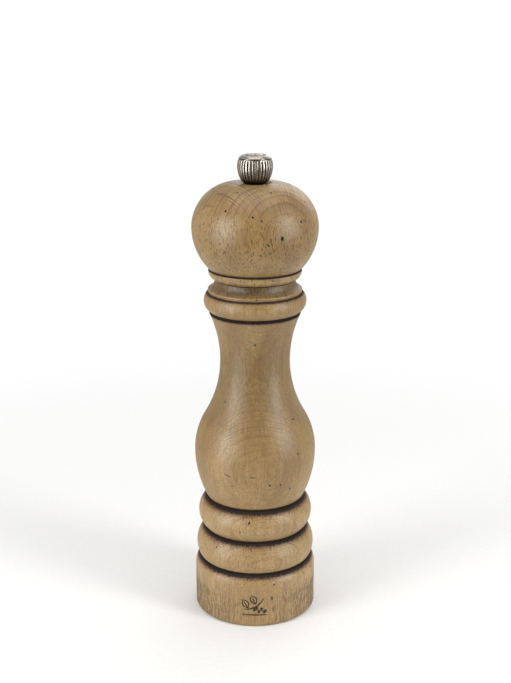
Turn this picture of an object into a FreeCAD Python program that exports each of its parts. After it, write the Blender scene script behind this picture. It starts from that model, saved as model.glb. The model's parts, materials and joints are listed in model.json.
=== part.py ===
import FreeCAD, Part
import Sketcher
import math
import os
import re

# A turned wooden pepper mill, 220 mm tall.  +Z is up, the origin is the centre of the underside.
# The head turns the square shaft and the male burr.  The knob screws on the shaft's thread and sets
# the grind: it pulls the shaft up against the spring.

V = FreeCAD.Vector
doc = FreeCAD.newDocument("pepper_mill")

# ---------------------------------------------------------------- driving dimensions (mm, degrees)

SIZES = """
base_radius 29.1          base_round 0.9            base_straight_top 20.5
groove_gap 0.6            groove_cut 1.1
low_groove_radius 27.1    low_groove_height 26.4
low_ring_radius 28.3      low_ring_height 33.0
mid_groove_radius 24.6    mid_groove_height 41.6
high_ring_radius 27.2     high_ring_height 48.4
high_groove_radius 23.5   high_groove_height 57.3
bulb_radius 28.7          bulb_height 80.3
neck_radius 16.35         neck_height 124.7         neck_sway 0.392
bead_foot_radius 21.2     bead_foot_height 148.0
bead_radius 23.7          bead_height 152.9
bead_top_radius 22.6      bead_top_height 156.6
fillet_radius 21.75       fillet_height 158.4       fillet_half 0.5
cove_mid_radius 19.35     cove_mid_height 160.5
body_top_radius 18.6      body_top 163.2
bore_radius 12.0          bore_chamfer 0.8
cavity_radius 16.8        cavity_top 30.3
plate_pocket_radius 20.4  plate_pocket_depth 3.2

joint_gap 0.3             collar_foot_radius 19.0
collar_mid_radius 20.85   collar_mid_height 165.2
collar_radius 21.5        collar_height 167.6
ball_foot_radius 21.25    ball_foot_height 168.4    ball_groove_cut 0.5
ball_radius 28.88         ball_height 187.24
crown_turn_radius 25.76   crown_turn_height 197.8
crown_mid_radius 21.6     crown_mid_height 202.75
crown_radius 7.7          crown_height 207.25
seat_radius 5.8           seat_height 206.4         bush_top 205.9
tenon_radius 11.7         tenon_bottom 152.5        shaft_way_radius 4.5

housing_radius 16.5       housing_inner 15.0        housing_top 28.5
plate_radius 20.2         plate_hole 13.0           plate_thick 1.5
plate_screw_circle 18.4   plate_screw_count 3
wood_screw_radius 0.9     wood_screw_head 1.7       wood_screw_length 9.0
screw_slot 0.6            screw_point 1.6           screw_turn 40             screw_ease 0.03
ring_radius 14.9          ring_top 16.5             ring_mouth 13.0
ring_tip_low 12.0         ring_tip_high 10.4        ring_waist 12.5
ring_teeth 30             ring_tooth_depth 0.8      ring_twist 10
burr_overcut 0.5          loft_steps 4
burr_bottom 3.6           burr_top 12.5             burr_teeth 18
burr_radius_low 11.4      burr_radius_mid 9.0       burr_radius_high 6.8
burr_mid 8.0              burr_tooth_depth 0.9      burr_twist 34
cone_top 18.0             cone_radius_low 6.8       cone_radius_high 5.0
cone_ridges 4             cone_ridge_depth 1.1      cone_twist 80
nut_across 7.5            nut_thick 1.2

bridge_width 8.0          bridge_thick 1.5          bridge_reach 16.2
bridge_hub_radius 6.5     bridge_hub_bottom 26.0    bridge_leg 6.0
bridge_leg_thick 1.5      bridge_leg_inset 0.9      bridge_overlap 1.0
rivet_radius 1.0          rivet_head 1.7            rivet_head_thick 0.6      rivet_height 25.0
running_gap 0.05          bush_radius 4.45          bush_flange_radius 6.2    bush_flange 1.2
bush_bottom 25.2          square_gap 0.1            core_hole 1.0
clip_height 25.3          clip_thick 0.6            clip_inner 4.05           clip_radius 5.8
clip_mouth 5.0
spring_mean_radius 4.65   spring_wire 0.5           spring_turns 4
seat_washer_thick 0.6     seat_washer_radius 5.9    seat_washer_hole 3.8
shaft_side 5.0            shaft_square_top 196      shaft_top 216             thread_radius 2.5
shaft_tail_radius 2.4     shaft_bottom 2.0
shaft_chamfer 0.5

drive_plate_radius 10.5   drive_plate_thick 1.5     drive_screw_circle 7.6    drive_screw_count 2
drive_screw_radius 1.0    drive_screw_head 1.9      drive_screw_length 8.0
top_bush_inner 3.0        top_bush_length 8.0       top_bush_flange 0.6

washer_lift 0.05          washer_thick 0.6          washer_radius 4.0         washer_hole 2.8
knob_foot_radius 4.2      knob_foot 206.6           knob_heel_radius 5.5      knob_heel 207.45
knob_side_radius 6.6      knob_side 208.8           knob_radius 8.05          knob_waist 214.6
knob_shoulder_radius 7.3  knob_shoulder 218.0       knob_turn_radius 6.6      knob_turn_height 219.0
knob_rim_radius 5.4       knob_rim 219.5
knob_flutes 30            flute_radius 0.62         flute_offset 0.18
flute_sweep 110           flute_start -62
insert_radius 3.3         insert_top 218.0          insert_bore 2.58          insert_bore_top 217.4
cap_radius 5.1            cap_thick 0.1             cap_top 220
"""

sheet = doc.addObject("Spreadsheet::Sheet", "dims")
words = SIZES.split()
for row, (alias, number) in enumerate(zip(words[0::2], words[1::2]), start=1):
    sheet.set(f"A{row}", alias)
    sheet.set(f"B{row}", number)
    sheet.setAlias(f"B{row}", alias)
doc.recompute()


def bound(text):
    """An expression of the sheet's words, as a property of another object writes it."""
    return re.sub(r"[a-z]\w*", lambda word: "dims." + word.group(0), text)


def value(text):
    """The number that an expression of the sheet's words has now."""
    result = sheet.evalExpression(bound(text))
    return float(getattr(result, "Value", result))


# ---------------------------------------------------------------- sketches

def origin_part(body, role):
    """The body's own origin plane or axis with this role."""
    for feature in body.Origin.OriginFeatures:
        if feature.Role == role:
            return feature
    raise ValueError(role)


def new_body(label):
    body = doc.addObject("PartDesign::Body", label)
    body.Label = label
    return body


def new_sketch(body, name, role, height=None):
    """A sketch on one of the body's origin planes, lifted to a height where one is given."""
    sketch = body.newObject("Sketcher::SketchObject", name)
    sketch.AttachmentSupport = (origin_part(body, role), [""])
    sketch.MapMode = "FlatFace"
    if height is not None:
        sketch.AttachmentOffset = FreeCAD.Placement(V(0, 0, value(height)), FreeCAD.Rotation())
        sketch.setExpression(".AttachmentOffset.Base.z", bound(height))
    return sketch


def pin(sketch, item, end, across, up):
    """Hold a point of the sketch at two expressions."""
    for kind, axis, text in (("DistanceX", -2, across), ("DistanceY", -1, up)):
        size = value(text)
        if abs(size) < 1e-9:
            sketch.addConstraint(Sketcher.Constraint("PointOnObject", item, end, axis))
            continue
        index = sketch.addConstraint(Sketcher.Constraint(kind, -1, 1, item, end, size))
        sketch.setExpression(f"Constraints[{index}]", bound(text))


def level_centre(level, other):
    """Centre of the arc through both points that is upright at the first of them."""
    across = other.x - level.x
    radius = ((other - level).Length ** 2) / (2 * across)
    return V(level.x + radius, level.y, 0)


def axis_centre(first, last):
    """Centre, on the axis, of the arc through both points."""
    rise = first.y - last.y
    return V(0, (first.y + last.y) / 2 + (first.x ** 2 - last.x ** 2) / (2 * rise), 0)


def add_arc(sketch, centre, first, last, middle):
    """Add an arc, and say which of its ends is the first point and which the last."""
    def angle(point):
        return math.atan2(point.y - centre.y, point.x - centre.x)

    turn = 2 * math.pi
    start = angle(first)
    to_last = (angle(last) - start) % turn
    to_middle = (angle(middle) - start) % turn
    circle = Part.Circle(centre, V(0, 0, 1), (first - centre).Length)
    if to_middle < to_last:
        return sketch.addGeometry(Part.ArcOfCircle(circle, start, start + to_last), False), 1, 2
    end = angle(last)
    back = (start - end) % turn
    return sketch.addGeometry(Part.ArcOfCircle(circle, end, end + back), False), 2, 1


def outline(sketch, start, steps):
    """Draw a closed outline.  A step is one of
    ("line", across, up), ("arc", across and up of a point on the way, across, up),
    ("rise", across, up), an arc that is upright where it ends,
    ("fall", across, up), an arc that is upright where it starts,
    ("dome", across, up), an arc centred on the axis."""
    corners = [start] + [step[-2:] for step in steps]
    points = [V(value(across), value(up), 0) for across, up in corners]
    ends = []
    for number, step in enumerate(steps):
        first, last = points[number], points[number + 1]
        if step[0] == "line":
            ends.append((sketch.addGeometry(Part.LineSegment(first, last), False), 1, 2))
            continue
        if step[0] == "arc":
            middle = V(value(step[1]), value(step[2]), 0)
            centre = Part.Circle(first, middle, last).Center
        else:
            if step[0] == "dome":
                centre = axis_centre(first, last)
            elif step[0] == "rise":
                centre = level_centre(last, first)
            else:
                centre = level_centre(first, last)
            chord_middle = (first + last) * 0.5 - centre
            middle = centre + chord_middle.normalize() * (first - centre).Length
        item, begin, finish = add_arc(sketch, centre, first, last, middle)
        ends.append((item, begin, finish))
        if step[0] == "arc":
            mark = sketch.addGeometry(Part.Point(middle), True)
            sketch.addConstraint(Sketcher.Constraint("PointOnObject", mark, 1, item))
            pin(sketch, mark, 1, step[1], step[2])
        elif step[0] == "dome":
            sketch.addConstraint(Sketcher.Constraint("PointOnObject", item, 3, -2))
        else:
            upright = finish if step[0] == "rise" else begin
            sketch.addConstraint(Sketcher.Constraint("Horizontal", item, 3, item, upright))
    for number, (item, begin, finish) in enumerate(ends):
        following, its_begin, its_finish = ends[(number + 1) % len(ends)]
        sketch.addConstraint(Sketcher.Constraint("Coincident", item, finish, following, its_begin))
        pin(sketch, item, begin, *corners[number])


def lines(*corners):
    """The steps of an outline that runs straight from corner to corner and back to the first."""
    return corners[0], [("line", across, up) for across, up in corners[1:] + corners[:1]]


def centred_square(sketch, side):
    half = f"({side}) / 2"
    corners = ((f"-({half})", f"-({half})"), (half, f"-({half})"), (half, half), (f"-({half})", half))
    outline(sketch, *lines(*corners))


def circle_at(sketch, radius, across="0", up="0"):
    item = sketch.addGeometry(Part.Circle(V(value(across), value(up), 0), V(0, 0, 1), value(radius)), False)
    index = sketch.addConstraint(Sketcher.Constraint("Radius", item, value(radius)))
    sketch.setExpression(f"Constraints[{index}]", bound(radius))
    pin(sketch, item, 3, across, up)


# ---------------------------------------------------------------- features

def turn(body, name, start, steps, kind="PartDesign::Revolution"):
    """Turn an outline of radius and height about the Z axis."""
    sketch = new_sketch(body, name + "_outline", "XZ_Plane")
    outline(sketch, start, steps)
    feature = body.newObject(kind, name)
    feature.Profile = sketch
    feature.ReferenceAxis = (sketch, ["V_Axis"])
    feature.Angle = 360
    return feature


def pad(body, name, sketch, length):
    feature = body.newObject("PartDesign::Pad", name)
    feature.Profile = sketch
    feature.Length = value(length)
    feature.setExpression("Length", bound(length))
    return feature


def pocket(body, name, sketch, length, reverse=True):
    """Cut upward from the sketch (the plain direction of a pocket is downward)."""
    doc.recompute()
    before = body.Shape.Volume
    feature = body.newObject("PartDesign::Pocket", name)
    feature.Profile = sketch
    feature.Length = value(length)
    feature.setExpression("Length", bound(length))
    feature.Reversed = reverse
    doc.recompute()
    if body.Shape.Volume > before - 1e-3:
        raise RuntimeError(f"{name} cuts nothing")
    return feature


def around(body, feature, count):
    """Repeat a feature evenly about the Z axis."""
    pattern = body.newObject("PartDesign::PolarPattern", feature.Name + "_around")
    pattern.Originals = [feature]
    pattern.Axis = (origin_part(body, "Z_Axis"), [""])
    pattern.Angle = 360
    pattern.Occurrences = round(value(count))
    pattern.setExpression("Occurrences", bound(count))
    body.Tip = pattern
    return pattern


def turned(label, start, steps):
    body = new_body(label)
    turn(body, label + "_turning", start, steps)
    return body


def tube(label, inner, outer, bottom, top):
    return turned(label, *lines((inner, bottom), (outer, bottom), (outer, top), (inner, top)))


# ---------------------------------------------------------------- the wooden body

def make_wooden_body():
    body = new_body("wooden_body")
    below = "- groove_gap"
    above = "+ groove_gap"
    sway_radius = "bulb_radius - neck_sway * (bulb_radius - neck_radius)"
    sway_height = "bulb_height + neck_sway * (neck_height - bulb_height)"
    steps = [
        ("line", "base_radius - base_round", "0"),
        ("line", "base_radius", "base_round"),
        ("line", "base_radius", "base_straight_top"),
        ("fall", "low_groove_radius", f"low_groove_height {below}"),
        ("arc", "low_groove_radius - groove_cut", "low_groove_height",
         "low_groove_radius", f"low_groove_height {above}"),
        ("arc", "low_ring_radius", "low_ring_height", "mid_groove_radius", f"mid_groove_height {below}"),
        ("arc", "mid_groove_radius - groove_cut", "mid_groove_height",
         "mid_groove_radius", f"mid_groove_height {above}"),
        ("arc", "high_ring_radius", "high_ring_height",
         "high_groove_radius", f"high_groove_height {below}"),
        ("arc", "high_groove_radius - groove_cut", "high_groove_height",
         "high_groove_radius", f"high_groove_height {above}"),
        ("rise", "bulb_radius", "bulb_height"),
        ("fall", sway_radius, sway_height),
        ("rise", "neck_radius", "neck_height"),
        ("fall", "bead_foot_radius", f"bead_foot_height {below}"),
        ("arc", "bead_foot_radius - groove_cut", "bead_foot_height",
         "bead_foot_radius", f"bead_foot_height {above}"),
        ("arc", "bead_radius", "bead_height", "bead_top_radius", "bead_top_height"),
        ("line", "bead_top_radius - groove_cut", "(bead_top_height + fillet_height - fillet_half) / 2"),
        ("line", "fillet_radius - fillet_half / 2", "fillet_height - fillet_half"),
        ("arc", "fillet_radius", "fillet_height", "fillet_radius - fillet_half / 2",
         "fillet_height + fillet_half"),
        ("arc", "cove_mid_radius", "cove_mid_height", "body_top_radius", "body_top"),
        ("line", "bore_radius + bore_chamfer", "body_top"),
        ("line", "bore_radius", "body_top - bore_chamfer"),
        ("line", "bore_radius", "cavity_top"),
        ("line", "cavity_radius", "cavity_top"),
        ("line", "cavity_radius", "plate_pocket_depth"),
        ("line", "plate_pocket_radius", "plate_pocket_depth"),
        ("line", "plate_pocket_radius", "0"),
    ]
    turn(body, "body_turning", ("plate_pocket_radius", "0"), steps)
    holes = new_sketch(body, "body_pilot_holes", "XY_Plane", "plate_pocket_depth")
    circle_at(holes, "wood_screw_radius + screw_ease", "plate_screw_circle")
    pilot = pocket(body, "body_pilot", holes, "wood_screw_length")
    around(body, pilot, "plate_screw_count")
    return body


# ---------------------------------------------------------------- the wooden head

def make_wooden_head():
    body = new_body("wooden_head")
    bottom = "body_top + joint_gap"
    flange_floor = "bush_top - top_bush_flange"
    steps = [
        ("line", "tenon_radius", "tenon_bottom"),
        ("line", "tenon_radius", bottom),
        ("line", "collar_foot_radius", bottom),
        ("arc", "collar_mid_radius", "collar_mid_height", "collar_radius", "collar_height"),
        ("line", "ball_foot_radius - ball_groove_cut", "(collar_height + ball_foot_height) / 2"),
        ("line", "ball_foot_radius", "ball_foot_height"),
        ("rise", "ball_radius", "ball_height"),
        ("fall", "crown_turn_radius", "crown_turn_height"),
        ("arc", "crown_mid_radius", "crown_mid_height", "crown_radius", "crown_height"),
        ("line", "seat_radius", "seat_height"),
        ("line", "seat_radius", flange_floor),
        ("line", "shaft_way_radius", flange_floor),
        ("line", "shaft_way_radius", "tenon_bottom"),
    ]
    turn(body, "head_turning", ("shaft_way_radius", "tenon_bottom"), steps)
    holes = new_sketch(body, "head_pilot_holes", "XY_Plane", "tenon_bottom")
    circle_at(holes, "drive_screw_radius + screw_ease", "drive_screw_circle")
    pilot = pocket(body, "head_pilot", holes, "drive_screw_length")
    around(body, pilot, "drive_screw_count")
    return body


# ---------------------------------------------------------------- the mechanism's fixed pieces

def screwed_plate(label, hole, radius, bottom, top, circle, count, shank, head):
    """A flat ring with countersunk screw holes."""
    body = tube(label, hole, radius, bottom, top)
    holes = new_sketch(body, label + "_hole_circle", "XY_Plane", bottom)
    circle_at(holes, f"{shank} + screw_ease", circle)
    through = pocket(body, label + "_hole", holes, f"{top} - ({bottom})")
    around(body, through, count)
    cone = body.newObject("PartDesign::SubtractiveCone", label + "_sink")
    sizes = (f"{head} + screw_ease", f"{shank} + screw_ease", f"{head} - ({shank})")
    for name, text in zip(("Radius1", "Radius2", "Height"), sizes):
        setattr(cone, name, value(text))
        cone.setExpression(name, bound(text))
    cone.AttachmentSupport = (origin_part(body, "XY_Plane"), [""])
    cone.MapMode = "FlatFace"
    cone.AttachmentOffset = FreeCAD.Placement(V(value(circle), 0, value(bottom)), FreeCAD.Rotation())
    cone.setExpression(".AttachmentOffset.Base.x", bound(circle))
    cone.setExpression(".AttachmentOffset.Base.z", bound(bottom))
    around(body, cone, count)
    return body


def screw_shape(shank, head, length, slot):
    """One countersunk wood screw, head down at the origin, with a pointed end and a slot."""
    sink = head - shank
    tip = shank * value("screw_point")
    corners = [V(0, 0, 0), V(head, 0, 0), V(shank, 0, sink),
               V(shank, 0, length - tip), V(0, 0, length), V(0, 0, 0)]
    solid = Part.Face(Part.makePolygon(corners)).revolve(V(0, 0, 0), V(0, 0, 1), 360)
    cut = Part.makeBox(2 * head, slot, slot, V(-head, -slot / 2, 0))
    return solid.cut(cut)


def make_screws(label, shank, head, length, circle, count, bottom):
    """A ring of identical screws, turned a little differently as a hand leaves them."""
    solids = []
    shape = screw_shape(value(shank), value(head), value(length), value("screw_slot"))
    total = round(value(count))
    for number in range(total):
        one = shape.copy()
        one.rotate(V(0, 0, 0), V(0, 0, 1), value("screw_turn") * (number + 1))
        one.translate(V(value(circle), 0, value(bottom)))
        one.rotate(V(0, 0, 0), V(0, 0, 1), 360 * number / total)
        solids.append(one)
    group = doc.addObject("Part::Feature", label)
    group.Label = label
    group.Shape = Part.Compound(solids)
    group.Placement = FreeCAD.Placement()
    return group


def star(teeth, tip, root, height, twist):
    """A closed wire of tooth tips and roots, turned by a twist in degrees."""
    corners = []
    for number in range(2 * teeth):
        radius = root if number % 2 else tip
        angle = math.radians(twist) + math.pi * number / teeth
        corners.append(V(radius * math.cos(angle), radius * math.sin(angle), height))
    return Part.makePolygon(corners + corners[:1])


def twisted(sections, teeth, depth, twist):
    """A solid whose teeth wind from the first (radius, height) section to the last."""
    low, high = sections[0][1], sections[-1][1]
    wires = []
    steps = round(value("loft_steps"))
    for (radius, height), (next_radius, next_height) in zip(sections, sections[1:]):
        for step in range(steps + 1):
            share = step / steps
            if step == 0 and wires:
                continue
            up = height + share * (next_height - height)
            out = radius + share * (next_radius - radius)
            wires.append(star(teeth, out, out - depth, up, twist * (up - low) / (high - low)))
    return Part.makeLoft(wires, True, True)


def make_ring_burr():
    """The female burr: a ring with slanted inner teeth and a smooth mouth above them."""
    low, waist, top = value("plate_pocket_depth"), value("ring_waist"), value("ring_top")
    tip_low, tip_high, depth = value("ring_tip_low"), value("ring_tip_high"), value("ring_tooth_depth")
    ring = Part.makeCylinder(value("ring_radius"), top - low, V(0, 0, low))
    over = value("burr_overcut")
    sections = [(tip_low + depth, low - over), (tip_high + depth, waist + over)]
    teeth = twisted(sections, round(value("ring_teeth")), depth, -value("ring_twist"))
    mouth = Part.makeCone(tip_high, value("ring_mouth"), top - waist, V(0, 0, waist))
    feature = doc.addObject("Part::Feature", "ring_burr")
    feature.Label = "ring_burr"
    feature.Shape = ring.cut(teeth).cut(mouth)
    feature.Placement = FreeCAD.Placement()
    return feature


def make_bridge():
    """The strap across the housing, with a round hub and two legs riveted inside the housing."""
    body = new_body("bridge")
    strap_bottom = "housing_top"
    leg_outside = "housing_inner - bridge_leg_inset"
    turn(body, "bridge_hub", *lines(
        ("bush_radius + running_gap", "bridge_hub_bottom"), ("bridge_hub_radius", "bridge_hub_bottom"),
        ("bridge_hub_radius", "housing_top + bridge_thick"),
        ("bush_radius + running_gap", "housing_top + bridge_thick")))
    for side, sign in (("right", ""), ("left", "-")):
        strap = new_sketch(body, f"bridge_{side}_strap", "XY_Plane", strap_bottom)
        near, far = f"{sign}(bridge_hub_radius - bridge_overlap)", f"{sign}bridge_reach"
        low, high = "-(bridge_width / 2)", "bridge_width / 2"
        outline(strap, *lines((near, low), (far, low), (far, high), (near, high)))
        pad(body, f"bridge_{side}_arm", strap, "bridge_thick")
        leg = new_sketch(body, f"bridge_{side}_leg_section", "XY_Plane", f"{strap_bottom} - bridge_leg")
        near, far = f"{sign}({leg_outside} - bridge_leg_thick)", f"{sign}({leg_outside})"
        outline(leg, *lines((near, low), (far, low), (far, high), (near, high)))
        pad(body, f"bridge_{side}_leg", leg, "bridge_leg")
    holes = new_sketch(body, "bridge_rivet_hole_circle", "YZ_Plane")
    circle_at(holes, "rivet_radius", "0", "rivet_height")
    feature = body.newObject("PartDesign::Pocket", "bridge_rivet_holes")
    feature.Profile = holes
    feature.Type = "ThroughAll"
    feature.Midplane = True
    return body


def make_housing():
    """The steel sleeve that holds the ring burr, with two rivet holes."""
    body = tube("housing", "housing_inner", "housing_radius", "plate_pocket_depth", "housing_top")
    holes = new_sketch(body, "housing_rivet_hole_circle", "YZ_Plane")
    circle_at(holes, "rivet_radius", "0", "rivet_height")
    feature = body.newObject("PartDesign::Pocket", "housing_rivet_holes")
    feature.Profile = holes
    feature.Type = "ThroughAll"
    feature.Midplane = True
    return body


def make_rivets():
    """Two rivets through the bridge's legs and the housing, with spacer and round head in one."""
    shank, head, thick = value("rivet_radius"), value("rivet_head"), value("rivet_head_thick")
    inside = value("housing_inner - bridge_leg_inset - bridge_leg_thick") - thick
    outside = value("housing_radius")
    height = value("rivet_height")
    solids = []
    for direction in (1, -1):
        axis = V(direction, 0, 0)
        stem = Part.makeCylinder(shank, outside - inside, V(direction * inside, 0, height), axis)
        cap = Part.makeCylinder(head, thick, V(direction * inside, 0, height), axis)
        solids.append(stem.fuse(cap).removeSplitter())
    group = doc.addObject("Part::Feature", "bridge_rivets")
    group.Label = "bridge_rivets"
    group.Shape = Part.Compound(solids)
    group.Placement = FreeCAD.Placement()
    return group


# ---------------------------------------------------------------- the guide bush and the shaft

def square_cut(body, name, side, bottom, depth):
    sketch = new_sketch(body, name + "_section", "XY_Plane", bottom)
    centred_square(sketch, side)
    return pocket(body, name, sketch, depth)


def make_guide_bush():
    """Round outside, to turn in the bridge, and square inside, for the shaft to slide in."""
    body = new_body("guide_bush")
    flange_bottom = "housing_top + bridge_thick + running_gap"
    top = f"{flange_bottom} + bush_flange"
    turn(body, "bush_turning", *lines(
        ("core_hole", "bush_bottom"), ("clip_inner", "bush_bottom"),
        ("clip_inner", "clip_height + clip_thick"),
        ("bush_radius", "clip_height + clip_thick"), ("bush_radius", flange_bottom),
        ("bush_flange_radius", flange_bottom), ("bush_flange_radius", top), ("core_hole", top)))
    square_cut(body, "bush_square", "shaft_side + 2 * square_gap", "bush_bottom", f"{top} - bush_bottom")
    return body


def make_clip():
    """The open ring that keeps the guide bush in the bridge."""
    body = tube("bush_clip", "clip_inner", "clip_radius", "clip_height", "clip_height + clip_thick")
    mouth = new_sketch(body, "clip_mouth_section", "XY_Plane", "clip_height")
    low, high = "-(clip_mouth / 2)", "clip_mouth / 2"
    outline(mouth, *lines(
        ("core_hole", low), ("clip_radius", low), ("clip_radius", high), ("core_hole", high)))
    pocket(body, "clip_opening", mouth, "clip_thick")
    return body


def make_shaft():
    """A square bar with a round tail for the burr's nut and a round threaded top for the knob."""
    body = new_body("drive_shaft")
    square = new_sketch(body, "shaft_square", "XY_Plane", "burr_bottom")
    centred_square(square, "shaft_side")
    pad(body, "shaft_bar", square, "shaft_square_top - burr_bottom")
    thread = new_sketch(body, "shaft_thread_section", "XY_Plane", "shaft_square_top")
    circle_at(thread, "thread_radius")
    pad(body, "shaft_thread", thread, "shaft_top - shaft_square_top")
    tail = new_sketch(body, "shaft_tail_section", "XY_Plane", "shaft_bottom")
    circle_at(tail, "shaft_tail_radius")
    pad(body, "shaft_tail", tail, "burr_bottom - shaft_bottom")
    doc.recompute()
    rim = body.newObject("PartDesign::Chamfer", "shaft_end_chamfer")
    top_edges = [f"Edge{number}" for number, edge in enumerate(body.Shape.Edges, start=1)
                 if edge.BoundBox.ZMin > value("shaft_top") - 0.01]
    rim.Base = (doc.getObject("shaft_tail"), top_edges)
    rim.Size = value("shaft_chamfer")
    rim.setExpression("Size", bound("shaft_chamfer"))
    return body


def burr_piece(label, sections, teeth, depth, twist):
    """A toothed cone on the square shaft."""
    side, bottom, top = value("shaft_side"), sections[0][1], sections[-1][1]
    solid = twisted(sections, teeth, depth, twist)
    hole = Part.makeBox(side, side, top - bottom, V(-side / 2, -side / 2, bottom))
    feature = doc.addObject("Part::Feature", label)
    feature.Label = label
    feature.Shape = solid.cut(hole)
    feature.Placement = FreeCAD.Placement()
    return feature


def make_burr():
    sections = [(value("burr_radius_low"), value("burr_bottom")),
                (value("burr_radius_mid"), value("burr_mid")),
                (value("burr_radius_high"), value("burr_top"))]
    return burr_piece("male_burr", sections, round(value("burr_teeth")), value("burr_tooth_depth"),
                      value("burr_twist"))


def make_cone():
    sections = [(value("cone_radius_low"), value("burr_top")),
                (value("cone_radius_high"), value("cone_top"))]
    return burr_piece("cracking_cone", sections, round(value("cone_ridges")), value("cone_ridge_depth"),
                      value("cone_twist"))


def make_nut():
    """The hexagon nut that keeps the burr on the shaft's tail."""
    body = new_body("burr_nut")
    sketch = new_sketch(body, "nut_hexagon", "XY_Plane", "burr_bottom - nut_thick")
    corner = "nut_across / 3 ^ 0.5"
    half = "nut_across / 3 ^ 0.5 / 2"
    side = "nut_across / 2"
    outline(sketch, *lines((corner, "0"), (half, side), (f"-({half})", side), (f"-({corner})", "0"),
                           (f"-({half})", f"-({side})"), (half, f"-({side})")))
    pad(body, "nut_block", sketch, "nut_thick")
    hole = new_sketch(body, "nut_hole_circle", "XY_Plane", "burr_bottom - nut_thick")
    circle_at(hole, "shaft_tail_radius")
    pocket(body, "nut_hole", hole, "nut_thick")
    return body


def make_spring():
    """A round wire wound between the seat washer and the guide bush."""
    wire, turns = value("spring_wire"), round(value("spring_turns"))
    low = "cone_top + seat_washer_thick + spring_wire"
    high = "bush_bottom - spring_wire"
    path = doc.addObject("Part::Helix", "spring_path")
    path.Radius = value("spring_mean_radius")
    path.Height = value(f"{high} - ({low})")
    path.Pitch = value(f"({high} - ({low})) / spring_turns")
    path.Placement = FreeCAD.Placement(V(0, 0, value(low)), FreeCAD.Rotation())
    path.setExpression("Radius", bound("spring_mean_radius"))
    path.setExpression("Height", bound(f"{high} - ({low})"))
    path.setExpression("Pitch", bound(f"({high} - ({low})) / spring_turns"))
    section = doc.addObject("Part::Circle", "spring_section")
    section.Radius = wire
    section.setExpression("Radius", bound("spring_wire"))
    across = FreeCAD.Rotation(V(1, 0, 0), 90)
    section.Placement = FreeCAD.Placement(V(value("spring_mean_radius"), 0, value(low)), across)
    spring = doc.addObject("Part::Sweep", "spring")
    spring.Label = "spring"
    spring.Sections = [section]
    spring.Spine = (path, [])
    spring.Solid = True
    spring.Frenet = True
    return spring


# ---------------------------------------------------------------- the head's metal and the knob

def make_drive_plate():
    """The disc under the head whose square hole turns the shaft."""
    body = screwed_plate("drive_plate", "core_hole", "drive_plate_radius",
                         "tenon_bottom - drive_plate_thick", "tenon_bottom", "drive_screw_circle",
                         "drive_screw_count", "drive_screw_radius", "drive_screw_head")
    square_cut(body, "drive_square", "shaft_side + 2 * square_gap", "tenon_bottom - drive_plate_thick",
               "drive_plate_thick")
    return body


def make_top_bush():
    flange_floor = "bush_top - top_bush_flange"
    bottom = f"{flange_floor} - top_bush_length"
    return turned("top_bush", *lines(
        ("top_bush_inner", bottom), ("shaft_way_radius", bottom), ("shaft_way_radius", flange_floor),
        ("seat_radius", flange_floor), ("seat_radius", "bush_top"), ("top_bush_inner", "bush_top")))


def make_knob_shell():
    """The fluted shell: a flattened ball with a flat rim and a hole for the insert."""
    body = new_body("knob_shell")
    steps = [
        ("line", "knob_foot_radius", "knob_foot"),
        ("arc", "knob_heel_radius", "knob_heel", "knob_side_radius", "knob_side"),
        ("rise", "knob_radius", "knob_waist"),
        ("fall", "knob_shoulder_radius", "knob_shoulder"),
        ("arc", "knob_turn_radius", "knob_turn_height", "knob_rim_radius", "knob_rim"),
        ("line", "core_hole", "knob_rim"),
        ("line", "core_hole", "insert_top"),
        ("line", "insert_radius", "insert_top"),
        ("line", "insert_radius", "knob_foot"),
    ]
    turn(body, "knob_turning", ("insert_radius", "knob_foot"), steps)
    doc.recompute()
    drop = value("knob_waist - knob_side")
    inset = value("knob_radius - knob_side_radius")
    bow = (drop ** 2 + inset ** 2) / (2 * inset)
    flute = body.newObject("PartDesign::SubtractiveTorus", "knob_flute")
    flute.Radius1 = bow + value("flute_offset")
    flute.Radius2 = value("flute_radius")
    flute.setExpression("Radius2", bound("flute_radius"))
    flute.Angle3 = value("flute_sweep")
    flute.setExpression("Angle3", bound("flute_sweep"))
    flute.AttachmentSupport = (origin_part(body, "XZ_Plane"), [""])
    flute.MapMode = "FlatFace"
    start = FreeCAD.Rotation(V(0, 0, 1), value("flute_start"))
    flute.AttachmentOffset = FreeCAD.Placement(V(value("knob_radius") - bow, value("knob_waist"), 0), start)
    around(body, flute, "knob_flutes")
    return body


def make_insert():
    """The brass insert with the blind threaded hole for the shaft."""
    return turned("knob_insert", *lines(
        ("insert_bore", "knob_foot"), ("insert_radius", "knob_foot"), ("insert_radius", "insert_top"),
        ("0", "insert_top"), ("0", "insert_bore_top"), ("insert_bore", "insert_bore_top")))


def make_cap():
    """The domed disc on top of the knob."""
    steps = [
        ("line", "cap_radius", "knob_rim"),
        ("line", "cap_radius", "knob_rim + cap_thick"),
        ("dome", "0", "cap_top"),
        ("line", "0", "knob_rim"),
    ]
    return turned("knob_cap", ("0", "knob_rim"), steps)


# ---------------------------------------------------------------- the assembly

PLATE_BOTTOM = "plate_pocket_depth - plate_thick"
DRIVE_BOTTOM = "tenon_bottom - drive_plate_thick"
CONE_SEAT = "cone_top + seat_washer_thick"
WASHER_SEAT = "bush_top + washer_lift"

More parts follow.
